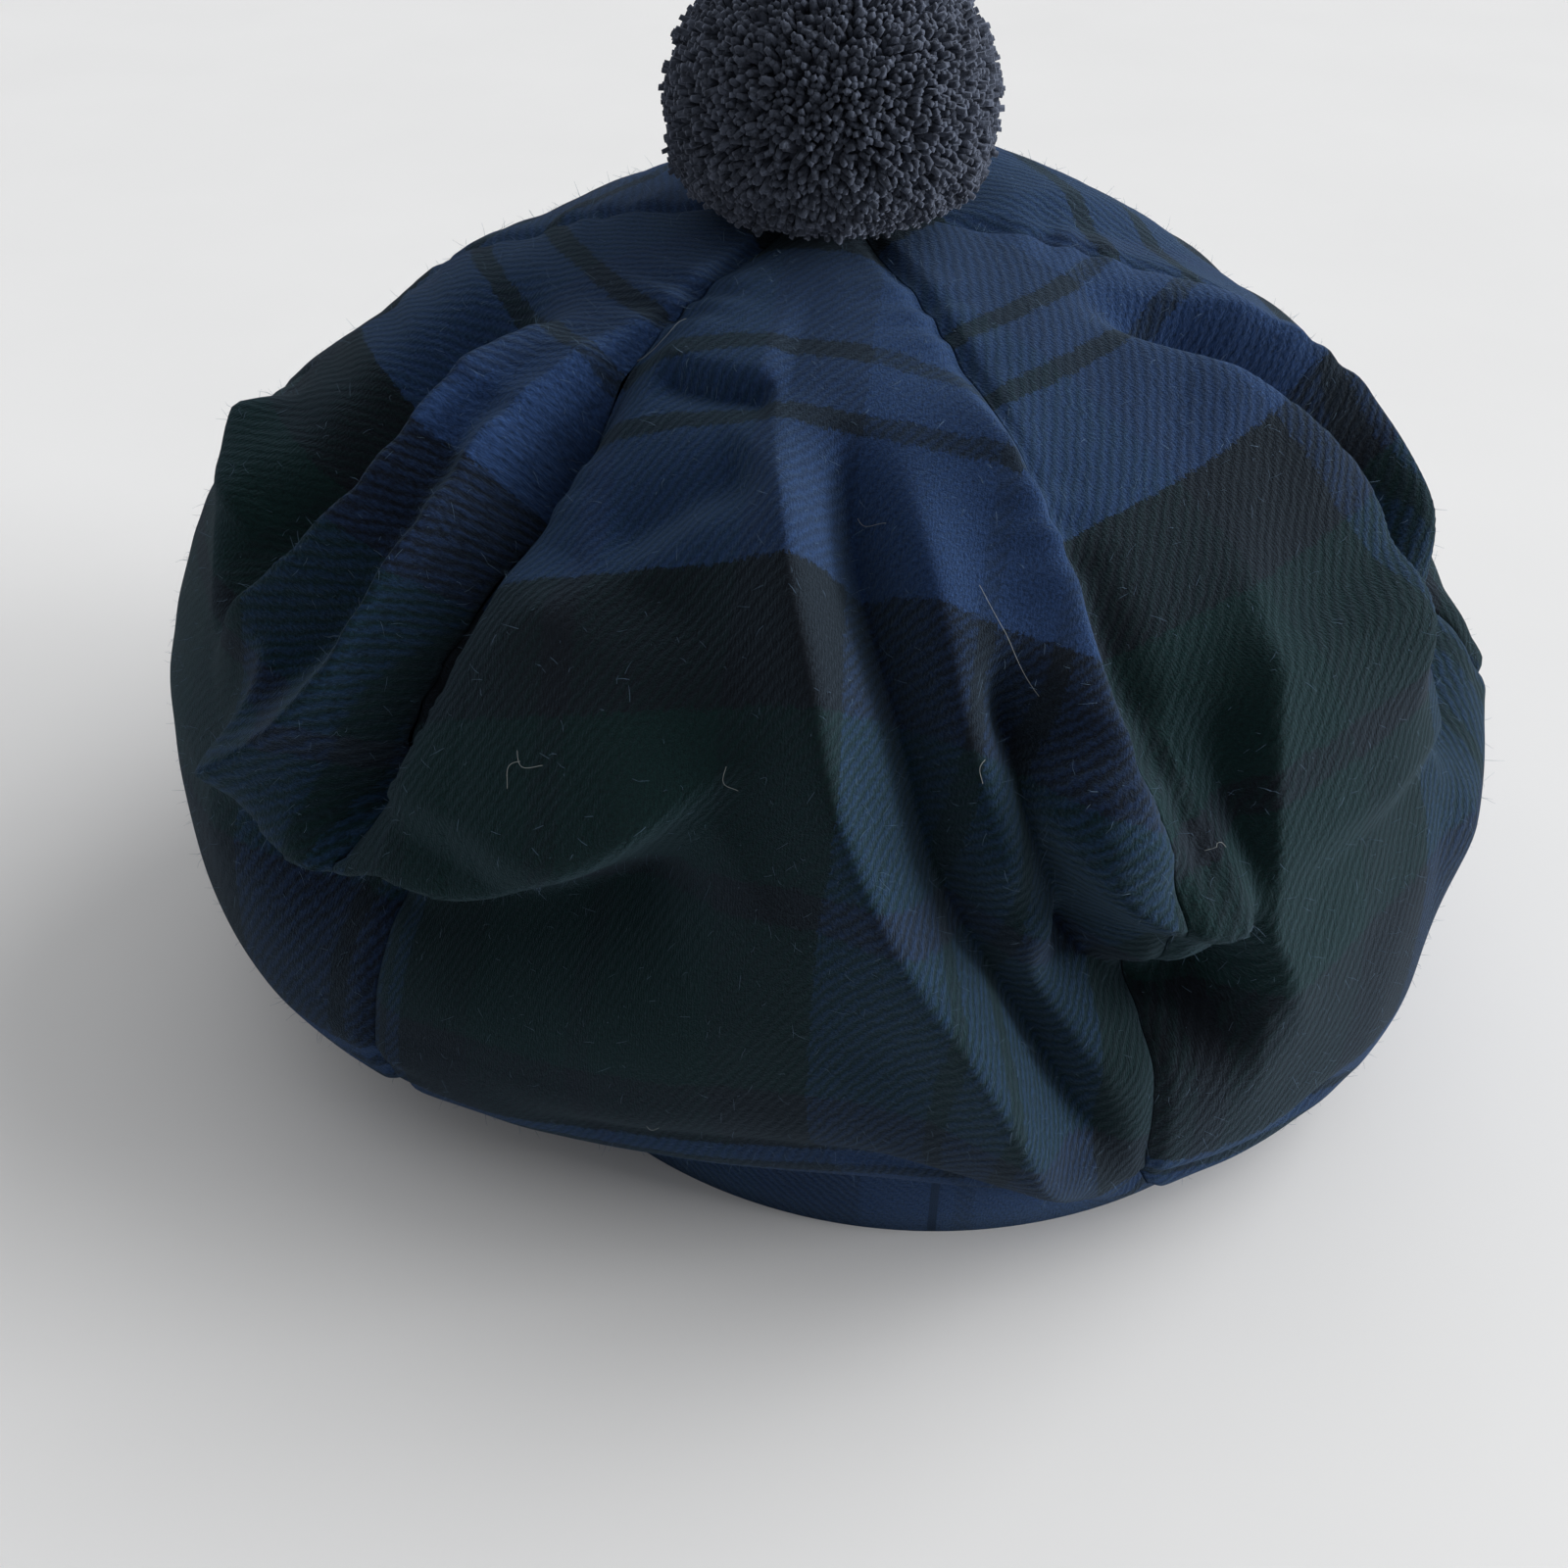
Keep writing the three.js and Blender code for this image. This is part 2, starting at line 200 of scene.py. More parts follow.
# name, path as (azimuth, fall) places, width on its left and right, height, lean to its right
# and sharpness (2 is a soft bell, nearer 1 a crisp edge); left and right as one goes along it
folds = [
    ("left seam ridge", [(-44, 0.16), (-45.5, 0.28), (-44.5, 0.35), (-45.5, 0.4), (-46.5, 0.455),
        (-48.5, 0.49), (-52, 0.52), (-56, 0.55), (-61, 0.58)], 3.2, 5, 11, -1, 1.25),
    ("left seam furrow", [(-37, 0.19), (-40.5, 0.29), (-40.5, 0.36), (-41, 0.42), (-42, 0.48),
        (-44, 0.53), (-45, 0.57)], 4, 3.5, -13, 0, 1.6),
    ("left outer ridge", [(-57, 0.18), (-54.5, 0.25), (-53, 0.31), (-53, 0.355), (-54.5, 0.39),
        (-57.5, 0.43), (-61, 0.47), (-67, 0.53)], 4, 4, 10, 1, 1.3),
    ("left outer hollow", [(-74, 0.17), (-69, 0.25), (-67, 0.32), (-66, 0.38), (-67, 0.43),
        (-71, 0.47)], 8, 8, -12, 0, 1.8),
    ("left inner hollow", [(-52, 0.24), (-49.5, 0.33), (-49.5, 0.4), (-52, 0.45), (-56, 0.51)
    ], 3.5, 3.5, -3.5, 0, 1.7),
    ("far left lobe", [(-86, 0.38), (-79, 0.41), (-71, 0.43), (-64, 0.45)], 5, 8, 7, 0, 1.4),
    ("far left hollow", [(-112, 0.34), (-98, 0.35), (-88, 0.34)], 9, 9, -6, 0, 1.8),
    ("left crease", [(-57, 0.46), (-56, 0.51), (-56.5, 0.56)], 3, 3, 2.5, 0, 1.4),
    ("front left pillow", [(-27, 0.36), (-31, 0.46), (-33, 0.54)], 24, 24, 5, 0, 2),
    ("front left lip", [(-62, 0.545), (-52, 0.565), (-45, 0.572), (-40, 0.556), (-33, 0.562),
        (-27, 0.545), (-21, 0.525), (-14, 0.49), (-6, 0.45)], 14, 4, 8, 4, 1.5),
    ("front left hollow", [(-64, 0.615), (-50, 0.625), (-40, 0.625), (-30, 0.61), (-20, 0.575),
        (-10, 0.52)], 6, 13, -15, 0, 1.8),
    ("collar lip", [(-37, 0.202), (-28, 0.207), (-18, 0.211), (-8, 0.213)], 9, 3, 2.2, 0, 1.7),
    ("collar pocket", [(-33, 0.217), (-25, 0.221), (-16, 0.225), (-10, 0.226)], 1.4, 3, -3.4, 0, 1.5),
    ("soft ridge", [(-12, 0.31), (-20, 0.345), (-28, 0.385), (-38, 0.44)], 5, 5, 2.5, 0, 1.7),
    ("soft furrow", [(-11, 0.28), (-19, 0.31), (-29, 0.35)], 5, 5, -3.5, 0, 1.7),
    ("centre ridge", [(-10, 0.22), (-8, 0.3), (-6, 0.36), (-3, 0.43), (-1, 0.5), (4, 0.58),
        (11, 0.65), (18, 0.73), (24, 0.8)], 5, 8, 9, -2, 1.4),
    ("centre furrow", [(0, 0.24), (2.5, 0.32), (5, 0.39), (7.5, 0.46), (9.5, 0.54), (14, 0.61),
        (20, 0.68), (27, 0.73)], 5, 4.5, -13, 0, 1.6),
    ("second ridge", [(8, 0.26), (10.5, 0.4), (13, 0.49), (16, 0.55)], 6, 6, 4, 0, 1.6),
    ("short furrow", [(15.5, 0.38), (18, 0.45), (20, 0.51), (21.5, 0.55), (25, 0.6)
    ], 4, 4.5, -11, 0, 1.6),
    ("tongue", [(19, 0.44), (21, 0.485), (24, 0.515), (28.5, 0.53), (32, 0.535), (37, 0.525)
    ], 12, 4, 10, 5, 1.5),
    ("hollow under the tongue", [(20, 0.55), (24, 0.595), (28, 0.61), (33, 0.605), (38, 0.58)
    ], 4, 9, -14, 0, 1.7),
    ("right seam ridge", [(21, 0.2), (24, 0.3), (25, 0.4), (26, 0.46), (28, 0.51)], 3.5, 8, 5, -1, 1.4),
    ("right seam groove", [(27.5, 0.28), (28.5, 0.4), (30, 0.47), (32, 0.52)], 4, 3.5, -3, 0, 1.6),
    ("upright ridge", [(47, 0.33), (43.5, 0.4), (40.5, 0.45), (38.8, 0.485), (37.8, 0.52),
        (37.2, 0.555), (37, 0.59), (37.5, 0.64), (38, 0.71)], 12, 5, 5.5, 1, 1.3),
    ("upright valley", [(37, 0.42), (35.5, 0.49), (35, 0.55)], 3.5, 6, -2, 0, 1.7),
    ("right side pillow", [(54, 0.4), (54, 0.55)], 22, 22, 4, 0, 2),
    ("upper right furrow", [(59, 0.165), (66, 0.225), (68.5, 0.27), (69.5, 0.31), (70, 0.345),
        (69.5, 0.375), (67, 0.41), (63.5, 0.44), (59, 0.48)], 4.5, 4.5, -12, 0, 1.6),
    ("upper right ridge", [(66, 0.165), (74, 0.24), (76.5, 0.29), (77.5, 0.34), (77, 0.375),
        (74.5, 0.41), (71, 0.445), (66, 0.49)], 9, 4.5, 7, 1, 1.4),
    ("right shoulder", [(92, 0.17), (122, 0.15), (148, 0.13)], 14, 14, 3.5, 0, 2),
    ("back shoulder", [(120, 0.13), (180, 0.12), (235, 0.13)], 14, 14, 1.5, 0, 2),
    ("lit right edge", [(54, 0.19), (60.5, 0.25), (62.5, 0.3), (63, 0.34), (64, 0.365),
        (62.5, 0.395), (59.5, 0.43), (56.5, 0.46), (54, 0.5)], 4, 10, 6, -1, 1.4),
    ("right notch", [(104, 0.45), (90, 0.47), (78, 0.49), (70, 0.52), (60, 0.53)], 9, 8, -16, 0, 1.7),
    ("right low bulge", [(84, 0.61), (72, 0.62), (60, 0.63)], 10, 10, 4, 0, 1.8),
    ("right low ripple", [(24, 0.79), (36, 0.8), (54, 0.77)], 6, 7, -4, 0, 1.7),
    ("low front ripple", [(-34, 0.79), (0, 0.81), (20, 0.84)], 7, 7, -3, 0, 1.8),
    ("back right furrow", [(108, 0.24), (112, 0.5), (110, 0.74)], 9, 9, -6, 0, 1.7),
    ("back furrow", [(142, 0.25), (148, 0.5), (150, 0.75)], 10, 10, -7, 0, 1.7),
    ("back pleat", [(170, 0.3), (176, 0.52), (172, 0.72)], 7, 8, -5, 0, 1.7),
    ("back left furrow", [(202, 0.25), (198, 0.5), (196, 0.7)], 10, 10, -6, 0, 1.7),
    ("left back furrow", [(236, 0.22), (238, 0.5), (244, 0.72)], 10, 10, -7, 0, 1.7),
]


def sectionValue(azimuth, column):
    # a column of sections at any azimuth, by a closed Catmull-Rom spline
    values = np.array([row[column] for row in sections], float)
    place = np.mod(azimuth, 360) / (360 / len(sections))
    row = np.floor(place).astype(int)
    share = place - row
    a, b, c, d = (values[(row + offset) % len(sections)] for offset in (-1, 0, 1, 2))
    cubic = share * (3 * (b - c) + d - a) + 2 * a - 5 * b + 4 * c - d
    return b + 0.5 * share * (c - a + share * cubic)


def plainCrown(azimuth, fall):
    # a quarter arc from the top to the widest line, then a quarter ellipse in to the headband
    turn = np.radians(azimuth)
    reach, level = sectionValue(azimuth, 1), sectionValue(azimuth, 2)
    outward = np.stack([np.sin(turn), -np.cos(turn)], -1)
    upper = np.clip(fall / crown["widest"], 0, 1) * np.pi / 2
    lower = np.clip((fall - crown["widest"]) / (1 - crown["widest"]), 0, 1) * np.pi / 2
    sunk = crown["dimple"] * np.exp(-(reach * np.sin(upper) / crown["dimpleRadius"]) ** 2)
    upperZ = level + (crown["top"] - level) * np.cos(upper).clip(0) ** crown["roundness"] - sunk
    foot = bandCentre[:2] + outward * (band["radius"] - band["thickness"])
    wide = outward * reach[..., None]
    lowerXy = foot + (wide - foot) * np.cos(lower)[..., None]
    lowerZ = level + (band["height"] + band["clearance"] - level) * np.sin(lower)
    # the bag starts only once the cloth is clear of the headband's edge
    bagged = smoothStep(*crown["bagStart"], np.cos(lower))
    lowerZ = lowerZ - sectionValue(azimuth, 3) * np.sin(2 * lower) * bagged
    onTop = fall <= crown["widest"]
    xy = np.where(onTop[..., None], wide * np.sin(upper)[..., None], lowerXy)
    return np.concatenate([xy, np.where(onTop, upperZ, lowerZ)[..., None]], -1)


def smoothPath(places, steps=18):
    # Catmull-Rom curve through the places of a fold
    places = np.array(places, float)
    padded = np.concatenate([[2 * places[0] - places[1]], places, [2 * places[-1] - places[-2]]])
    share = np.linspace(0, len(places) - 1, steps + 1)
    row = np.minimum(share.astype(int), len(places) - 2)
    t = (share - row)[:, None]
    a, b, c, d = (padded[row + offset] for offset in range(4))
    return b + 0.5 * t * (c - a + t * (2 * a - 5 * b + 4 * c - d + t * (3 * (b - c) + d - a)))


def foldLift(azimuth, fall, radius):
    # for each fold, the distance d to its path in mm gives height * exp(-(|d| / width) ** sharpness)
    lift = np.zeros_like(azimuth)
    slideRound = np.zeros_like(azimuth)
    slideDown = np.zeros_like(azimuth)
    scale = np.radians(1) * radius
    for _, places, widthLeft, widthRight, height, lean, sharpness in folds:
        path = smoothPath(places)
        middle = path[:, 0].mean()
        near = azimuth - 360 * np.round((azimuth - middle) / 360)
        best = np.full_like(azimuth, 1e9)
        side = np.ones_like(azimuth)
        along = np.zeros_like(azimuth)
        outX = np.zeros_like(azimuth)
        outY = np.zeros_like(azimuth)
        for step in range(len(path) - 1):
            fromX = (near - path[step, 0]) * scale
            fromY = (fall - path[step, 1]) * crown["length"]
            stepX = (path[step + 1, 0] - path[step, 0]) * scale
            stepY = (path[step + 1, 1] - path[step, 1]) * crown["length"]
            size = np.maximum(stepX ** 2 + stepY ** 2, 1e-9)
            share = np.clip((fromX * stepX + fromY * stepY) / size, 0, 1)
            awayX, awayY = fromX - share * stepX, fromY - share * stepY
            distance = np.hypot(awayX, awayY)
            closer = distance < best
            best = np.where(closer, distance, best)
            side = np.where(closer, np.sign(stepX * fromY - stepY * fromX), side)
            along = np.where(closer, (step + share) / (len(path) - 1), along)
            outX = np.where(closer, -stepY / np.sqrt(size), outX)
            outY = np.where(closer, stepX / np.sqrt(size), outY)
        # fall grows downwards, so the right-hand side is where the cross product is positive
        width = np.where(side > 0, widthRight, widthLeft)
        ends = smoothStep(*crown["foldEnds"], along) * smoothStep(*crown["foldEnds"], 1 - along)
        soft = np.hypot(best, crown["crestRadius"]) / width
        bell = ends * np.exp(-soft ** sharpness)
        lift += height * bell
        slideRound += lean * bell * outX
        slideDown += lean * bell * outY
    return lift, slideRound, slideDown


def swells(azimuth, fall, radius):
    # low irregular swells: sines of random direction, length and phase, seeded
    total = np.zeros_like(azimuth)
    draw = np.random.default_rng(crown["swellSeed"])
    x, y = radius * np.radians(azimuth), fall * crown["length"]
    longest = crown["swellLengths"][1]
    for _ in range(crown["swellCount"]):
        angle = draw.uniform(0, np.pi)
        length = draw.uniform(*crown["swellLengths"])
        phase = draw.uniform(0, 2 * np.pi)
        ahead = np.cos(angle) * x + np.sin(angle) * y
        total += np.sin(2 * np.pi * ahead / length + phase) * length / longest
    return total / crown["swellScale"]


def seamAzimuth(row, fall):
    return row[1] + row[2] * smoothStep(crown["strayStart"], crown["strayEnd"], fall)


def clothCrown(azimuth, fall):
    # the plain crown, moved out along its normal by folds, swells, seams and their gathers, and
    # slid along itself where a fold leans over
    plain = plainCrown(azimuth, fall)
    turn, step = crown["normalStep"]
    roundDirection = unit(plainCrown(azimuth + turn, fall) - plainCrown(azimuth - turn, fall))
    low, high = np.clip(fall + step, 0, 1), np.clip(fall - step, 0.001, 1)
    down = unit(plainCrown(azimuth, low) - plainCrown(azimuth, high))
    normal = unit(np.cross(down, roundDirection))
    radius = np.hypot(plain[..., 0], plain[..., 1])
    lift, slideRound, slideDown = foldLift(azimuth, fall, radius)
    held = smoothStep(*crown["heldTop"], fall) * smoothStep(0, crown["heldBand"], 1 - fall)
    lift = (lift + crown["swell"] * swells(azimuth, fall, radius)) * held
    seams = np.stack([seamAzimuth(row, fall) for row in gores])
    toSeam = np.abs((azimuth - seams + 180) % 360 - 180).min(0) * np.radians(1) * radius
    sunk = np.exp(-(toSeam / crown["seamWidth"]) ** 2) * smoothStep(*crown["seamStart"], fall)
    lift -= crown["seamDepth"] * sunk
    wander, pace = crown["puckerDrift"]
    turns = fall * crown["length"] / crown["puckerLength"]
    gathers = np.sin(2 * np.pi * turns + wander * np.sin(fall * pace))
    lift += crown["pucker"] * gathers * np.exp(-(toSeam / crown["puckerWidth"]) ** 2) * held
    point = plain + normal * lift[..., None]
    return point + roundDirection * (slideRound * held)[..., None] + down * (slideDown * held)[..., None]


def clothMap(azimuth, fall, middle, middleLine):
    # flat cloth of a gore: v is the length down the middle line, u the length across, and a
    # straight weft thread runs level on the cloth, so it climbs away from the rows of equal fall
    rows = np.linspace(0, 1, 240)
    line = plainCrown(np.full_like(rows, middle), rows)
    length = np.concatenate([[0], np.cumsum(np.linalg.norm(np.diff(line, axis=0), axis=1))])
    radius = np.hypot(line[:, 0], line[:, 1])
    growth = np.gradient(radius, np.maximum(length, 1e-6), edge_order=1) / np.maximum(radius, 1)
    along = np.interp(fall, rows, length)
    bend = np.interp(fall, rows, growth)
    plain = plainCrown(azimuth, fall)
    across = np.radians(azimuth - middleLine) * np.hypot(plain[..., 0], plain[..., 1])
    v = along - 0.5 * across ** 2 * bend
    u = across * (1 - (bend * across) ** 2 / 6)
    return u, v


gorePoints = {}  # the grid of each gore, for the fibres that grow from it


def makeGore(number, material):
    name, start, stray, columns, rows, warpOffset, weftOffset, gather, lost = gores[number]
    after = gores[(number + 1) % len(gores)]
    fall = crown["firstFall"] + (1 - crown["firstFall"]) * np.linspace(0, 1, rows + 1)
    share = np.linspace(0, 1, columns + 1)
    fallGrid, shareGrid = np.meshgrid(fall, share, indexing="ij")
    first = seamAzimuth(gores[number], fallGrid)
    last = seamAzimuth(after, fallGrid)
    last = first + (last - first) % 360
    middle = start + ((after[1] - start) % 360) / 2
    plain = plainCrown(np.full_like(fallGrid, middle), fallGrid)
    radius = np.hypot(plain[..., 0], plain[..., 1])
    inset = np.degrees(crown["seamGap"] / np.maximum(radius, 2))
    azimuth = first + inset + (last - first - 2 * inset) * shareGrid
    points = clothCrown(azimuth, fallGrid) + crownAxis
    u, v = clothMap(azimuth, fallGrid, middle, (first + last) / 2)
    v = v - lost * smoothStep(crown["lostStart"], crown["lostEnd"], fallGrid)
    uv = np.stack([u * gather + warpOffset, v + weftOffset], -1) * mm
    piece = makeMesh(
        name + "_cloth", points.reshape(-1, 3) * mm, [gridFaces(rows + 1, columns + 1)], uv.reshape(-1, 2))
    wall = piece.modifiers.new("wall", "SOLIDIFY")
    wall.thickness = crown["thickness"] * mm
    wall.offset = -1
    piece.data.materials.append(material)
    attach(piece, "root")
    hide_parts(name)
    gorePoints[name] = points


# threads of half the tartan's repeat, from one pivot to the other, in mm of cloth
sett = [
    ("blue", 4.5), ("line", 3), ("blue", 23), ("black", 18.5), ("green", 25), ("black", 5),
    ("green", 25), ("black", 18.5), ("blue", 4), ("line", 3), ("blue", 4), ("line", 3), ("blue", 11),
]
twill = {
    "blue": "#1d3154",
    "green": "#061b1a",
    "black": "#0b0e14",
    "line": "#131c29",
    "rib": 1.6,  # mm between twill ribs
    "thread": 0.57,  # mm between threads
    "warpShare": (0.06, 0.46),  # least and most of the warp's colour that shows through the weft's
    "looseness": 5.0,  # how far the nap breaks up the ribs
    "wanderScale": 0.45,  # turns per mm of the slow drift of the threads
    "wander": 1.7,  # mm that they drift
    "napScale": 1.9,  # turns per mm of the nap's clumps
    "napBlur": 3.2,  # mm by which the nap blurs the edges of the stripes
    "napTone": (0.35, 1.75),  # darkest and brightest of the nap
    "ribRise": 0.17,  # heights as shares of the relief
    "threadRise": 0.05,
    "fluffRise": 0.35,
    "fluffScale": 5.0,
    "relief": 0.5,  # mm
    "roughness": 0.95,
    "specular": 0.1,
    "sheen": 0.2,
    "sheenRoughness": 0.5,
    "sheenTint": "#93b6d2",
}


def settRamp(tree, coordinate):
    # stripes: the coordinate in mm goes to and fro over half the repeat, and a stepped ramp colours it
    half = sum(width for _, width in sett)
    swing = addNode(tree, "ShaderNodeMath", {"operation": "PINGPONG", 1: half}, {0: coordinate})
    share = addNode(tree, "ShaderNodeMath", {"operation": "DIVIDE", 1: half}, {0: swing.outputs[0]})
    ramp = addNode(tree, "ShaderNodeValToRGB", {}, {"Fac": share.outputs[0]})
    ramp.color_ramp.interpolation = "CONSTANT"
    place = 0
    for number, (colour, width) in enumerate(sett):
        if number < 2:
            stop = ramp.color_ramp.elements[number]
            stop.position = place / half
        else:
            stop = ramp.color_ramp.elements.new(place / half)
        stop.color = hexLinear(twill[colour])
        place += width
    return ramp.outputs["Color"]


def waveOf(tree, coordinate, length):
    # sine of a coordinate in mm, one turn in the given length
    turns = addNode(
        tree, "ShaderNodeMath", {"operation": "MULTIPLY", 1: 2 * math.pi / length}, {0: coordinate})
    return addNode(tree, "ShaderNodeMath", {"operation": "SINE"}, {0: turns.outputs[0]}).outputs[0]


def makeTwill():
    # a soft brushed 2/2 wool twill in tartan, which gives the eye broken diagonal ribs, stripes with
    # blurred edges and a pale bloom of raised fibre where light grazes it
    material, tree = newMaterial("brushed_wool_twill")
    uv = addNode(tree, "ShaderNodeUVMap", {"uv_map": "cloth"})
    scaled = addNode(
        tree, "ShaderNodeMapping", {"Scale": (1 / mm, 1 / mm, 1 / mm)}, {"Vector": uv.outputs[0]})
    place = {"Vector": scaled.outputs[0]}
    wander = addNode(tree, "ShaderNodeTexNoise", {"Scale": twill["wanderScale"], "Detail": 3.0}, place)
    centred = addNode(
        tree, "ShaderNodeVectorMath", {"operation": "SUBTRACT", 1: (0.5, 0.5, 0.5)},
        {0: wander.outputs["Color"]})
    drift = addNode(
        tree, "ShaderNodeVectorMath",
        {"operation": "MULTIPLY_ADD", 1: (twill["wander"], twill["wander"], 0)},
        {0: centred.outputs[0], 2: scaled.outputs[0]})
    nap = addNode(
        tree, "ShaderNodeTexNoise", {"Scale": twill["napScale"], "Detail": 4.0, "Roughness": 0.75}, place)
    blurred = addNode(
        tree, "ShaderNodeVectorMath",
        {"operation": "MULTIPLY_ADD", 1: (twill["napBlur"], twill["napBlur"], 0)},
        {0: nap.outputs["Color"], 2: drift.outputs[0]})
    striped = addNode(tree, "ShaderNodeSeparateXYZ", {}, {0: blurred.outputs[0]})
    warp, weft = settRamp(tree, striped.outputs["X"]), settRamp(tree, striped.outputs["Y"])
    threaded = addNode(tree, "ShaderNodeSeparateXYZ", {}, {0: drift.outputs[0]})
    diagonal = addNode(
        tree, "ShaderNodeMath", {"operation": "ADD"}, {0: threaded.outputs["X"], 1: threaded.outputs["Y"]})
    ribs = waveOf(tree, diagonal.outputs[0], twill["rib"] * math.sqrt(2))
    threads = waveOf(tree, threaded.outputs["X"], twill["thread"])
    loose = addNode(
        tree, "ShaderNodeMath",
        {"operation": "MULTIPLY_ADD", 1: twill["looseness"], 2: -twill["looseness"] / 2},
        {0: nap.outputs["Fac"]})
    mixed = addNode(tree, "ShaderNodeMath", {"operation": "ADD"}, {0: ribs, 1: loose.outputs[0]})
    least, most = twill["warpShare"]
    face = addNode(
        tree, "ShaderNodeMapRange",
        {"From Min": -1.0, "From Max": 1.0, "To Min": least, "To Max": most},
        {"Value": mixed.outputs[0]})
    cloth = addNode(
        tree, "ShaderNodeMix", {"data_type": "RGBA"}, {"Factor": face.outputs[0], 6: weft, 7: warp})
    darkest, brightest = twill["napTone"]
    shade = addNode(
        tree, "ShaderNodeMapRange",
        {"From Min": 0.3, "From Max": 0.7, "To Min": darkest, "To Max": brightest},
        {"Value": nap.outputs["Fac"]})
    toned = addNode(
        tree, "ShaderNodeVectorMath", {"operation": "SCALE"},
        {0: cloth.outputs[2], "Scale": shade.outputs[0]})
    fluff = addNode(tree, "ShaderNodeTexNoise", {"Scale": twill["fluffScale"], "Detail": 2.0}, place)
    height = nap.outputs["Fac"]
    # the relief sums the nap with the ribs, the threads and the fluff, each by its own rise
    parts = [(ribs, "ribRise"), (threads, "threadRise"), (fluff.outputs["Fac"], "fluffRise")]
    for part, rise in parts:
        added = addNode(
            tree, "ShaderNodeMath", {"operation": "MULTIPLY_ADD", 1: twill[rise]}, {0: part, 2: height})
        height = added.outputs[0]
    bump = addNode(
        tree, "ShaderNodeBump", {"Strength": 1.0, "Distance": twill["relief"] * mm}, {"Height": height})
    shader = addNode(tree, "ShaderNodeBsdfPrincipled", {
        "Roughness": twill["roughness"],
        "Specular IOR Level": twill["specular"],
        "Sheen Weight": twill["sheen"],
        "Sheen Roughness": twill["sheenRoughness"],
        "Sheen Tint": hexLinear(twill["sheenTint"]),
    }, {"Base Color": toned.outputs[0], "Normal": bump.outputs[0]})
    addNode(tree, "ShaderNodeOutputMaterial", {}, {"Surface": shader.outputs[0]})
    return material


def makeHeadband(material):
    # a doubled strip bent into a ring: its section is a flat-footed loop carried round the circle
    outer, inner, top = band["radius"], band["radius"] - band["thickness"], band["height"]
    rollIn, rollUp, rollDown = band["rolled"]
    section = np.array([
        (outer, 0),
        (outer, top * 0.3),
        (outer + band["bulge"], top * 0.7),
        (outer, top),
        (inner + rollIn, top + rollUp),
        (inner, top - rollDown),
        (inner, top * 0.5),
        (inner, 0),
    ])
    columns = band["columns"]
    turn = np.linspace(0, 2 * np.pi, columns + 1)[:-1]
    ring = section[:, None, 0] * np.ones(columns)
    upward = section[:, None, 1] * np.ones(columns)
    points = np.stack([ring * np.sin(turn), -ring * np.cos(turn), upward], -1)
    points = points + bandCentre + crownAxis
    index = np.arange(len(section) * columns).reshape(len(section), columns)
    below = np.roll(index, -1, 0)
    faces = np.stack([index, np.roll(index, -1, 1), np.roll(below, -1, 1), below], -1).reshape(-1, 4)
    along = np.cumsum(np.concatenate([[0], np.hypot(*np.diff(section, axis=0).T)]))
    uv = np.stack(np.broadcast_arrays(turn[None] * outer, band["hem"] + along[:, None]), -1) * mm
    piece = makeMesh("headband_cloth", points.reshape(-1, 3) * mm, [faces], uv.reshape(-1, 2))
    piece.data.materials.append(material)
    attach(piece, "root")
    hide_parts("headband")


pompom = {
    "yarn": "#373c47",
    "sheen": 0.4,
    "sheenTint": "#aab4cc",
    "grainScale": 700.0,  # turns per metre of the yarn's own mottling
    "grainTone": (0.4, 1.8),
    "relief": 0.6,  # mm
    "tufts": 9200,
    "tuftLength": 4,
    "tuftRadius": 0.68,
    "core": 0.88,  # size of the plain ball under the tufts, as a share of the whole
    "rows": 40,
    "columns": 80,
    "clumping": 0.05,  # share of the pompom's size by which clumps of tufts stand out or sink
    "seed": 11,
    "bottom": 153.8,  # mm, heights of its flat underside, widest line and top
    "widest": 169.8,
    "top": 193,
    "radius": 26.3,
    "lowerBox": 0.6,
}


def strands(roots, heads, bends, radii, sides):
    # round tapering strands: the centre line at share t is root + head * t + bend * t * t
    share = np.linspace(0, 1, len(radii))
    centre = roots[:, None] + heads[:, None] * share[:, None] + bends[:, None] * share[:, None] ** 2
    across = unit(np.cross(heads, bends + np.array([0.013, 0.017, 0.019])))
    upright = unit(np.cross(across, heads))
    angle = np.arange(sides) * 2 * np.pi / sides
    ring = across[:, None] * np.cos(angle)[:, None] + upright[:, None] * np.sin(angle)[:, None]
    points = centre[:, :, None] + ring[:, None] * np.asarray(radii)[:, None, None]
    count, rows = len(roots), len(radii)
    index = np.arange(count * rows * sides).reshape(count, rows, sides)
    after = np.roll(index, -1, axis=2)
    walls = np.stack([index[:, :-1], after[:, :-1], after[:, 1:], index[:, 1:]], -1).reshape(-1, 4)
    caps = np.concatenate([index[:, 0, ::-1], index[:, -1]]).reshape(-1, sides)
    return points.reshape(-1, 3), walls, caps


def pompomOutline(rows):
    # round above the widest line, boxier below it: reach and depth there are powers of a circle's
    angle = np.linspace(-np.pi / 2, np.pi / 2, rows)
    power = np.where(angle < 0, pompom["lowerBox"], 1.0)
    half = np.where(angle < 0, pompom["widest"] - pompom["bottom"], pompom["top"] - pompom["widest"])
    reach = pompom["radius"] * np.cos(angle).clip(0) ** power
    return reach, half * np.sign(angle) * np.abs(np.sin(angle)) ** power


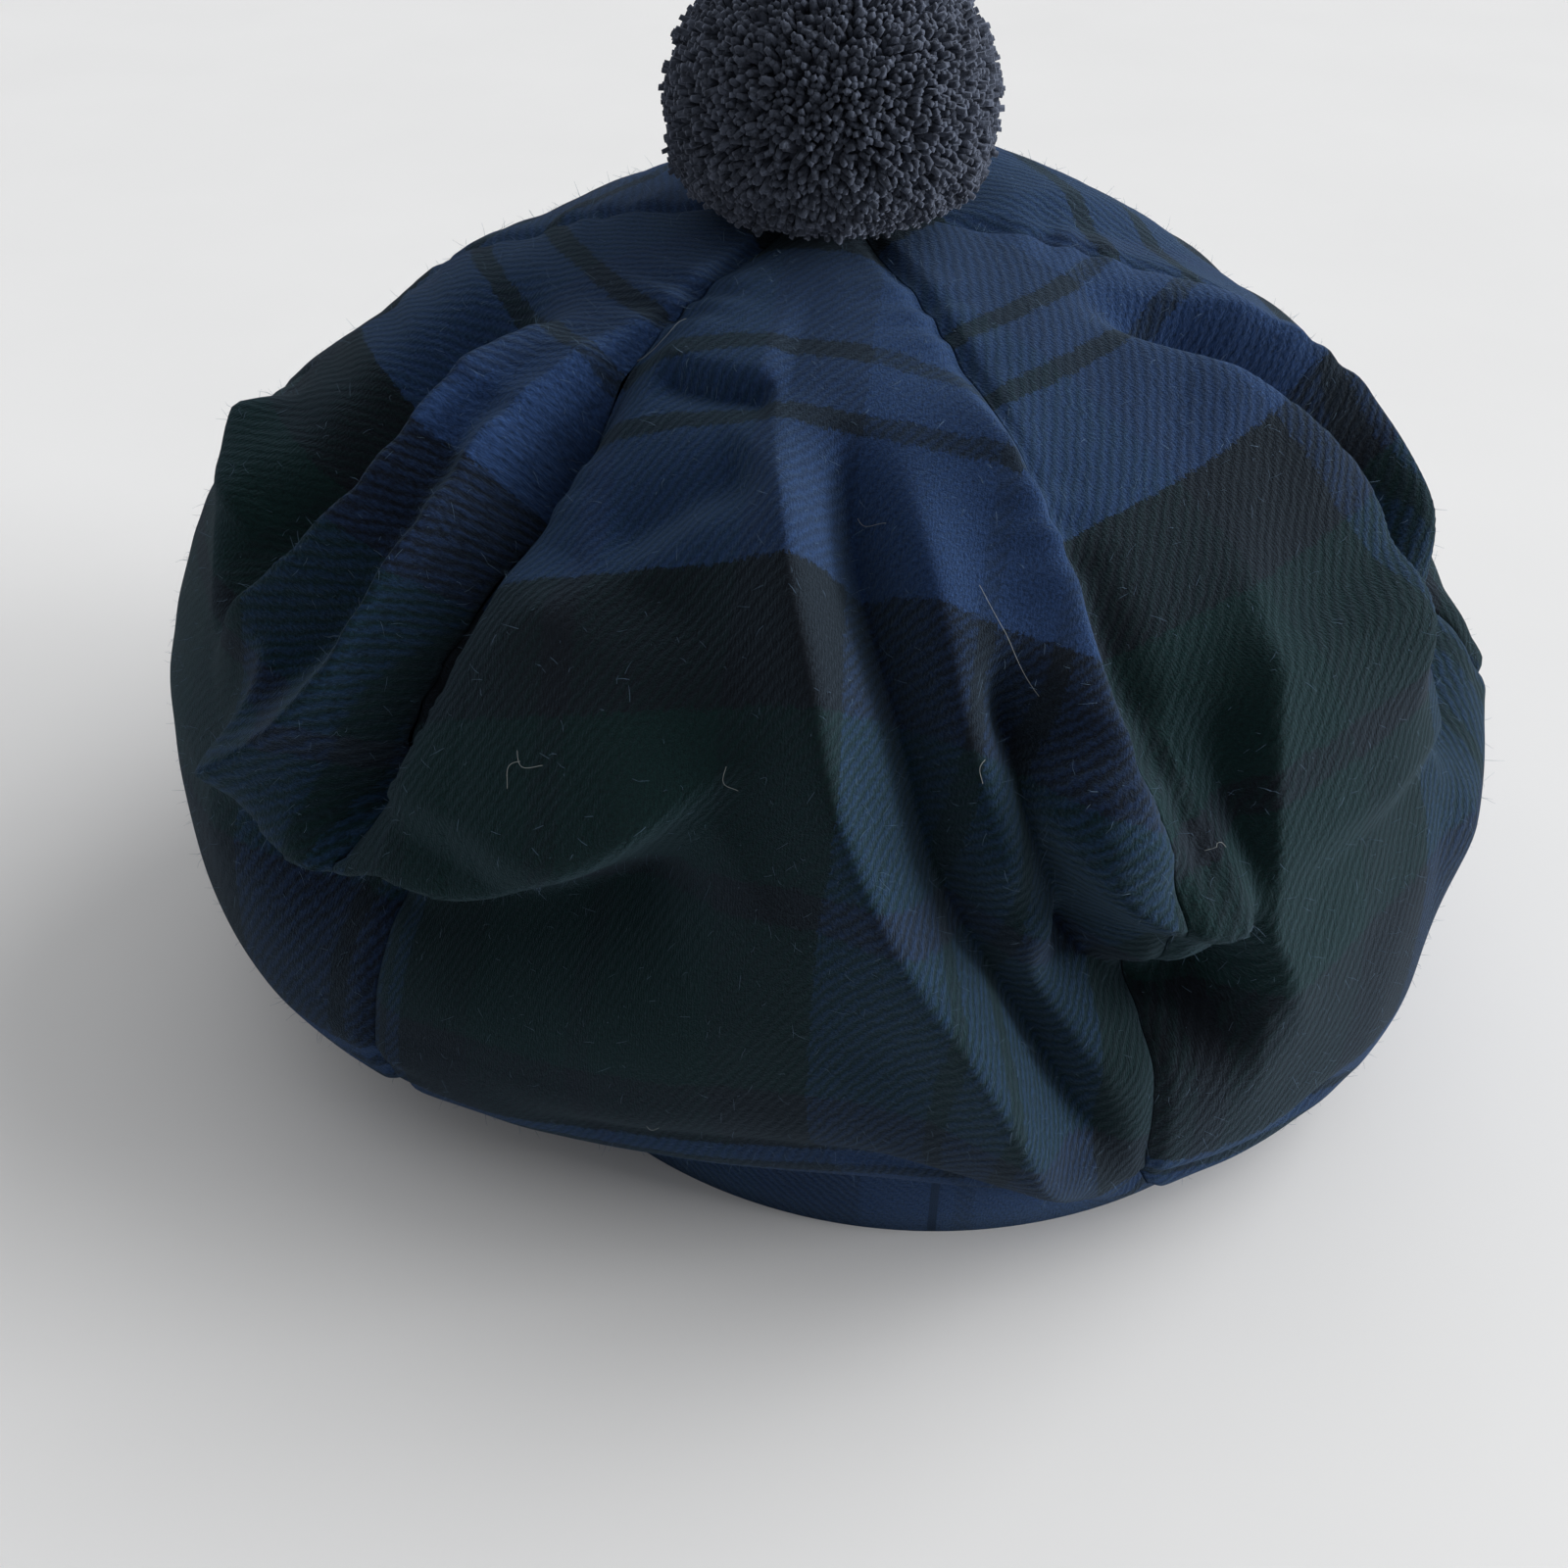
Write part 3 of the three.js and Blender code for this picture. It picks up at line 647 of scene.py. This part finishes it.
def makeYarn():
    # black wool yarn cut across: matt and mottled, so each tuft's end is told from the next
    material, tree = newMaterial("cut_pile_yarn")
    where = addNode(tree, "ShaderNodeTexCoord")
    grain = addNode(
        tree, "ShaderNodeTexNoise", {"Scale": pompom["grainScale"], "Detail": 4.0},
        {"Vector": where.outputs["Object"]})
    darkest, brightest = pompom["grainTone"]
    tone = addNode(
        tree, "ShaderNodeMapRange",
        {"From Min": 0.3, "From Max": 0.7, "To Min": darkest, "To Max": brightest},
        {"Value": grain.outputs["Fac"]})
    yarn = addNode(
        tree, "ShaderNodeVectorMath", {"operation": "SCALE", 0: hexLinear(pompom["yarn"])[:3]},
        {"Scale": tone.outputs[0]})
    bump = addNode(
        tree, "ShaderNodeBump", {"Distance": pompom["relief"] * mm}, {"Height": grain.outputs["Fac"]})
    shader = addNode(tree, "ShaderNodeBsdfPrincipled", {
        "Roughness": 0.95,
        "Sheen Weight": pompom["sheen"],
        "Sheen Roughness": 0.5,
        "Sheen Tint": hexLinear(pompom["sheenTint"]),
        "Specular IOR Level": 0.1,
    }, {"Base Color": yarn.outputs[0], "Normal": bump.outputs[0]})
    addNode(tree, "ShaderNodeOutputMaterial", {}, {"Surface": shader.outputs[0]})
    return material


def makePompom():
    # a plain ball of the pompom's outline, hidden under short strands that end on that outline
    centre = crownAxis + np.array([0, 0, pompom["widest"]])
    rows, columns = pompom["rows"], pompom["columns"]
    reach, depth = pompomOutline(rows)
    turn = np.arange(columns) * 2 * np.pi / columns
    core = np.stack(np.broadcast_arrays(
        reach[1:-1, None] * np.sin(turn), -reach[1:-1, None] * np.cos(turn), depth[1:-1, None]), -1)
    poles = np.array([(0, 0, depth[0]), (0, 0, depth[-1])], float)
    corePoints = np.concatenate([core.reshape(-1, 3), poles]) * pompom["core"] + centre
    index = np.arange((rows - 2) * columns).reshape(rows - 2, columns)
    bottom = np.stack([np.roll(index[0], -1), index[0], np.full(columns, index.size)], -1)
    top = np.stack([index[-1], np.roll(index[-1], -1), np.full(columns, index.size + 1)], -1)
    coreWalls = gridFaces(rows - 2, columns, closed=True)[:, ::-1]
    draw = np.random.default_rng(pompom["seed"])
    count = pompom["tufts"]
    number = np.arange(count) + 0.5
    # evenly spread directions by the golden angle, shaken a little
    upward = np.arcsin(1 - 2 * number / count)
    spin = number * math.pi * (3 - math.sqrt(5)) + draw.normal(0, 0.02, count)
    angle = np.linspace(-np.pi / 2, np.pi / 2, rows)
    ringReach, ringDepth = np.interp(upward, angle, reach), np.interp(upward, angle, depth)
    surface = np.stack([ringReach * np.sin(spin), -ringReach * np.cos(spin), ringDepth], -1)
    # clumps: neighbouring tufts lean together towards the crests of a few slow waves
    clump = np.sin(surface @ draw.normal(0, 0.75, (3, 9)) + draw.uniform(0, 6, 9)).mean(-1, keepdims=True)
    outward = unit(unit(surface) + draw.normal(0, 0.1, (count, 3)))
    lengths = pompom["tuftLength"] * draw.uniform(0.85, 1.0, count)
    tips = surface * (0.985 + pompom["clumping"] * clump + draw.normal(0, 0.012, (count, 1)))
    heads = outward * lengths[:, None]
    bends = draw.normal(0, 0.45, (count, 3))
    radii = pompom["tuftRadius"] * np.array([0.8, 1.0, 0.7])
    tuftPoints, tuftWalls, tuftCaps = strands(tips - heads + centre, heads, bends, radii, 4)
    offset = len(corePoints)
    piece = makeMesh("pompom_pile", np.concatenate([corePoints, tuftPoints]) * mm, [
        coreWalls, tuftWalls + offset, bottom, top, tuftCaps + offset])
    piece.data.materials.append(makeYarn())
    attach(piece, "root")
    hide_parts("pompom")


fibre = {
    "count": 5200,
    "length": 2.4,
    "radius": 0.03,
    "seed": 5,
    # the fibres' pale blue-grey is painted sheen: lighter than the cloth's own yarns, so they show as the
    # bright haze that grazing light gives raised fuzz
    "colour": "#56708a",
    "lintColour": "#83898a",
    "lintRadius": 0.04,
    "lintRings": 30,
    "lintSides": 4,
    "lintLift": (0.35, 0.5),  # mm above the cloth at its ends, and more in its middle
}
# strays lying on the cloth: azimuth and fall of the root, length in mm, heading in degrees on the
# cloth (0 goes round to the right, 90 goes down), how far it curls in mm and how many times
lint = [
    (-28, 0.47, 4, 20, 0.8, 0.6), (-27.5, 0.475, 3, 120, 0.7, 0.7), (-10, 0.47, 4, 70, 0.8, 0.6),
    (13, 0.455, 3, 110, 0.6, 0.6), (15, 0.35, 14, 65, 0.4, 0.5), (-39, 0.205, 8, -65, 1.2, 0.5),
    (-17, 0.76, 2, 15, 0.3, 0.5), (33, 0.5, 3, 200, 0.5, 0.6), (3, 0.3, 4, 35, 0.5, 0.7),
]


def makeFibres():
    # short loose fibres all over the cloth, which soften its outline
    draw = np.random.default_rng(fibre["seed"])
    roots, outward = [], []
    for grid in gorePoints.values():
        downStep, acrossStep = grid[1:, :-1] - grid[:-1, :-1], grid[:-1, 1:] - grid[:-1, :-1]
        facing = np.cross(downStep, acrossStep)
        size = np.linalg.norm(facing, axis=-1)
        chance = (size / size.sum()).ravel()
        chosen = draw.choice(size.size, fibre["count"] // len(gorePoints), p=chance)
        roots.append(grid[:-1, :-1].reshape(-1, 3)[chosen])
        outward.append((facing / np.maximum(size, 1e-9)[..., None]).reshape(-1, 3)[chosen])
    roots, outward = np.concatenate(roots), np.concatenate(outward)
    count = len(roots)
    direction = unit(outward + draw.normal(0, 0.7, (count, 3)))
    heads = direction * fibre["length"] * draw.uniform(0.35, 1.0, (count, 1))
    bends = draw.normal(0, 0.5, (count, 3)) - outward * 0.3
    points, walls, caps = strands(roots, heads, bends, fibre["radius"] * np.array([1, 0.8, 0.4]), 3)
    piece = makeMesh("loose_fibres", points * mm, [walls, caps])
    # the fibres take the pale colour that paints sheen on them
    piece.data.materials.append(makeFibreMaterial("loose_fibre_painted_sheen", fibre["colour"]))
    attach(piece, "root")


def makeLint():
    # each strand wavers by a sine about a straight heading on the cloth, and arches clear of it
    rings, sides = fibre["lintRings"], fibre["lintSides"]
    share = np.linspace(0, 1, rings)
    endLift, middleLift = fibre["lintLift"]
    sets = []
    for azimuth, fall, length, heading, curl, turns in lint:
        turn = math.radians(heading)
        ahead, aside = length * share, curl * np.sin(2 * np.pi * turns * share)
        root = plainCrown(np.array([azimuth * 1.0]), np.array([fall]))
        perDegree = math.radians(1) * float(np.hypot(*root[0, :2]))
        sideways = azimuth + (ahead * math.cos(turn) - aside * math.sin(turn)) / perDegree
        down = fall + (ahead * math.sin(turn) + aside * math.cos(turn)) / crown["length"]
        line = clothCrown(sideways, down)
        outward = unit(line - np.array([0, 0, 60.0]))
        line = line + outward * (endLift + middleLift * np.sin(np.pi * share))[:, None] + crownAxis
        forward = unit(np.gradient(line, axis=0))
        across = unit(np.cross(forward, outward))
        upright = np.cross(across, forward)
        angle = np.arange(sides) * 2 * np.pi / sides
        ring = across[:, None] * np.cos(angle)[:, None] + upright[:, None] * np.sin(angle)[:, None]
        sets.append(line[:, None] + ring * fibre["lintRadius"])
    points = np.stack(sets)
    index = np.arange(len(lint) * rings * sides).reshape(len(lint), rings, sides)
    after = np.roll(index, -1, axis=2)
    walls = np.stack([index[:, :-1], index[:, 1:], after[:, 1:], after[:, :-1]], -1).reshape(-1, 4)
    caps = np.concatenate([index[:, 0], index[:, -1, ::-1]]).reshape(-1, sides)
    piece = makeMesh("lint", points.reshape(-1, 3) * mm, [walls, caps])
    piece.data.materials.append(makeFibreMaterial("pale_lint", fibre["lintColour"]))
    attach(piece, "root")


def makeFibreMaterial(name, colour):
    # fine loose wool hairs, matt, which give the cloth a soft edge
    material, tree = newMaterial(name)
    shader = addNode(tree, "ShaderNodeBsdfPrincipled", {"Base Color": hexLinear(colour), "Roughness": 0.8})
    addNode(tree, "ShaderNodeOutputMaterial", {}, {"Surface": shader.outputs[0]})
    return material


studio = {
    "floorSize": 40.0,  # metres from the middle to an edge
    "floorTone": (0.755, 0.775),
    "cloudScale": 9.0,
    "worldColour": (0.97, 0.98, 1.0, 1),
    "worldStrength": 0.3,
}
# name, direction that it shines from, width in degrees and power
lights = [
    ("ceiling", (0.1, 0.3, 0.95), 110, 0.8),
    ("window", (0.85, 0.25, 0.65), 50, 1.9),
    ("side", (1.0, -0.1, 0.11), 25, 4.2),
]


def makeFloor():
    size = studio["floorSize"]
    corners = np.array([(-size, -size, 0), (size, -size, 0), (size, size, 0), (-size, size, 0)], float)
    floor = makeMesh("floor", corners, [np.array([[0, 1, 2, 3]])], smooth=False)
    # flat white paint, barely clouded, so that only the hat's shadow marks it
    material, tree = newMaterial("matt_white_paint")
    where = addNode(tree, "ShaderNodeTexCoord")
    cloud = addNode(
        tree, "ShaderNodeTexNoise", {"Scale": studio["cloudScale"], "Detail": 6.0},
        {"Vector": where.outputs["Object"]})
    darkest, brightest = studio["floorTone"]
    tone = addNode(
        tree, "ShaderNodeMapRange",
        {"From Min": 0.3, "From Max": 0.7, "To Min": darkest, "To Max": brightest},
        {"Value": cloud.outputs["Fac"]})
    shader = addNode(tree, "ShaderNodeBsdfPrincipled", {"Roughness": 0.6}, {"Base Color": tone.outputs[0]})
    addNode(tree, "ShaderNodeOutputMaterial", {}, {"Surface": shader.outputs[0]})
    floor.data.materials.append(material)


def makeLight(name, direction, spread, power):
    # a wide soft source far away, seen from the hat in the given direction over the given angle
    data = bpy.data.lights.new(name, "SUN")
    data.angle = math.radians(spread)
    data.energy = power
    light = bpy.data.objects.new(name, data)
    tilt = math.atan2(math.hypot(*direction[:2]), direction[2])
    light.rotation_euler = (tilt, 0, math.atan2(direction[0], -direction[1]))
    bpy.context.collection.objects.link(light)


def makeWorld():
    world = bpy.data.worlds.new("studio")
    world.use_nodes = True
    background = world.node_tree.nodes["Background"]
    background.inputs["Color"].default_value = studio["worldColour"]
    background.inputs["Strength"].default_value = studio["worldStrength"]
    bpy.context.scene.world = world
    bpy.context.scene.view_settings.view_transform = "Standard"


makeCamera()
tartanTwill = makeTwill()
for number in range(len(gores)):
    makeGore(number, tartanTwill)
report("crown")
makeHeadband(tartanTwill)
report("headband")
makePompom()
report("pompom")
makeFibres()
makeLint()
report("fibres")
makeFloor()
for light in lights:
    makeLight(*light)
makeWorld()
report("floor and light")
